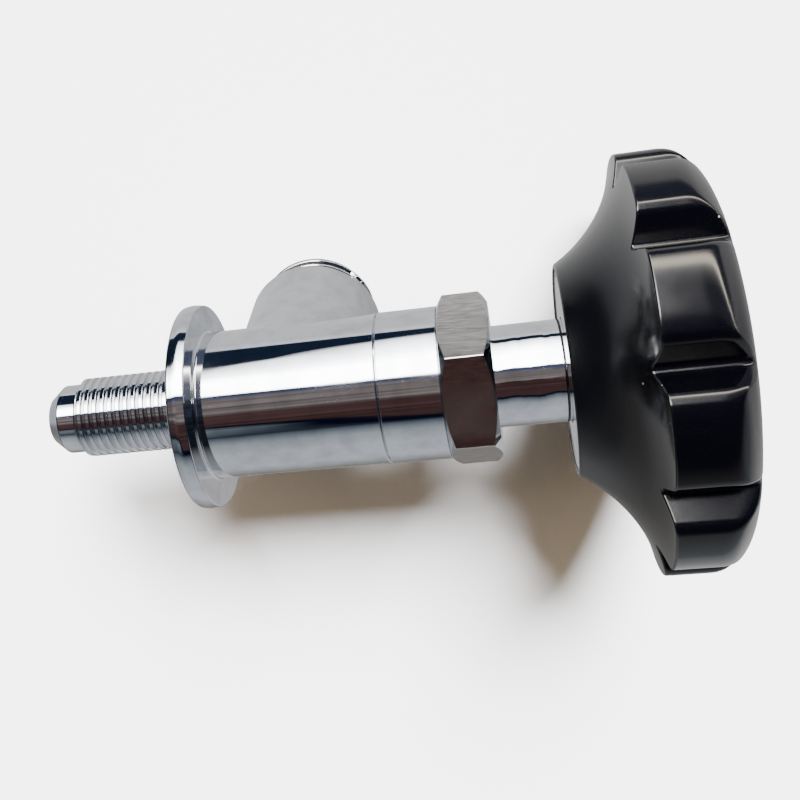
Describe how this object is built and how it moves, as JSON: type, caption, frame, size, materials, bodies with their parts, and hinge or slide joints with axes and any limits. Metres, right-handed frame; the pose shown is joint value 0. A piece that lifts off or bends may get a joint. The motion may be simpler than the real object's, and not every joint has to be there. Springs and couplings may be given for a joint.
{
  "type": "steam valve",
  "caption": "Hand-operated steam valve: threaded inlet nipple with a mounting flange, side outlet boss, screwed bonnet with a hexagon, and a lobed knob on a rising spindle.",
  "frame": {"origin": "on the valve axis, where the inlet thread meets the flange face that rests on the panel", "axes": "+X along the valve axis towards the knob, outlet pointing down along -Z"},
  "size_m": [0.1078, 0.0642, 0.064],
  "materials": {
    "chromed_brass": "mirror-polished chrome plate on a brass forging",
    "chromed_brass_bonnet": "polished chrome where turned, fine lines on the hexagon's flats",
    "chromed_core": "turned and chromed",
    "chromed_plate": "polished chrome disc with turned lines",
    "bare_brass": "machined",
    "ptfe": "white PTFE",
    "spring_steel": "bright spring steel",
    "turned_stainless": "turned stainless steel",
    "seal_rubber": "moulded rubber",
    "black_phenolic": "glossy moulded black phenolic",
    "black_cap": "glossy moulded black phenolic, bare"
  },
  "bodies": {
    "housing": {"valve_body": "chromed_brass", "seat_insert": "bare_brass", "bonnet_gasket": "ptfe", "bonnet": "chromed_brass_bonnet", "packing_base_washer": "bare_brass", "packing_rings": "ptfe", "packing_follower": "bare_brass", "packing_spring": "spring_steel", "gland_nut": "bare_brass", "stem_o_ring": "seal_rubber"},
    "plug": {"valve_plug": "bare_brass", "seal_disc": "seal_rubber", "seal_washer": "turned_stainless", "seal_screw": "turned_stainless", "plug_clip": "spring_steel"},
    "handle": {"stem": "turned_stainless", "hub_insert": "chromed_core", "hub_back_plate": "chromed_plate", "knob": "black_phenolic", "knob_cap": "black_cap", "plain_washer": "turned_stainless", "spring_washer": "spring_steel", "knob_screw": "turned_stainless"}
  },
  "joints": [
    {"name": "plug_lift", "type": "slide", "parent": "housing", "child": "plug", "axis": [1, 0, 0], "range_m": [0, 0.003]},
    {"name": "knob_turn", "type": "hinge", "parent": "plug", "child": "handle", "pos_m": [0, 0, 0], "axis": [1, 0, 0], "range_deg": [0, 720]}
  ],
  "couplings": [
    {"joint": "plug_lift", "follows": "knob_turn", "m_per_rad": 0.00023873}
  ]
}
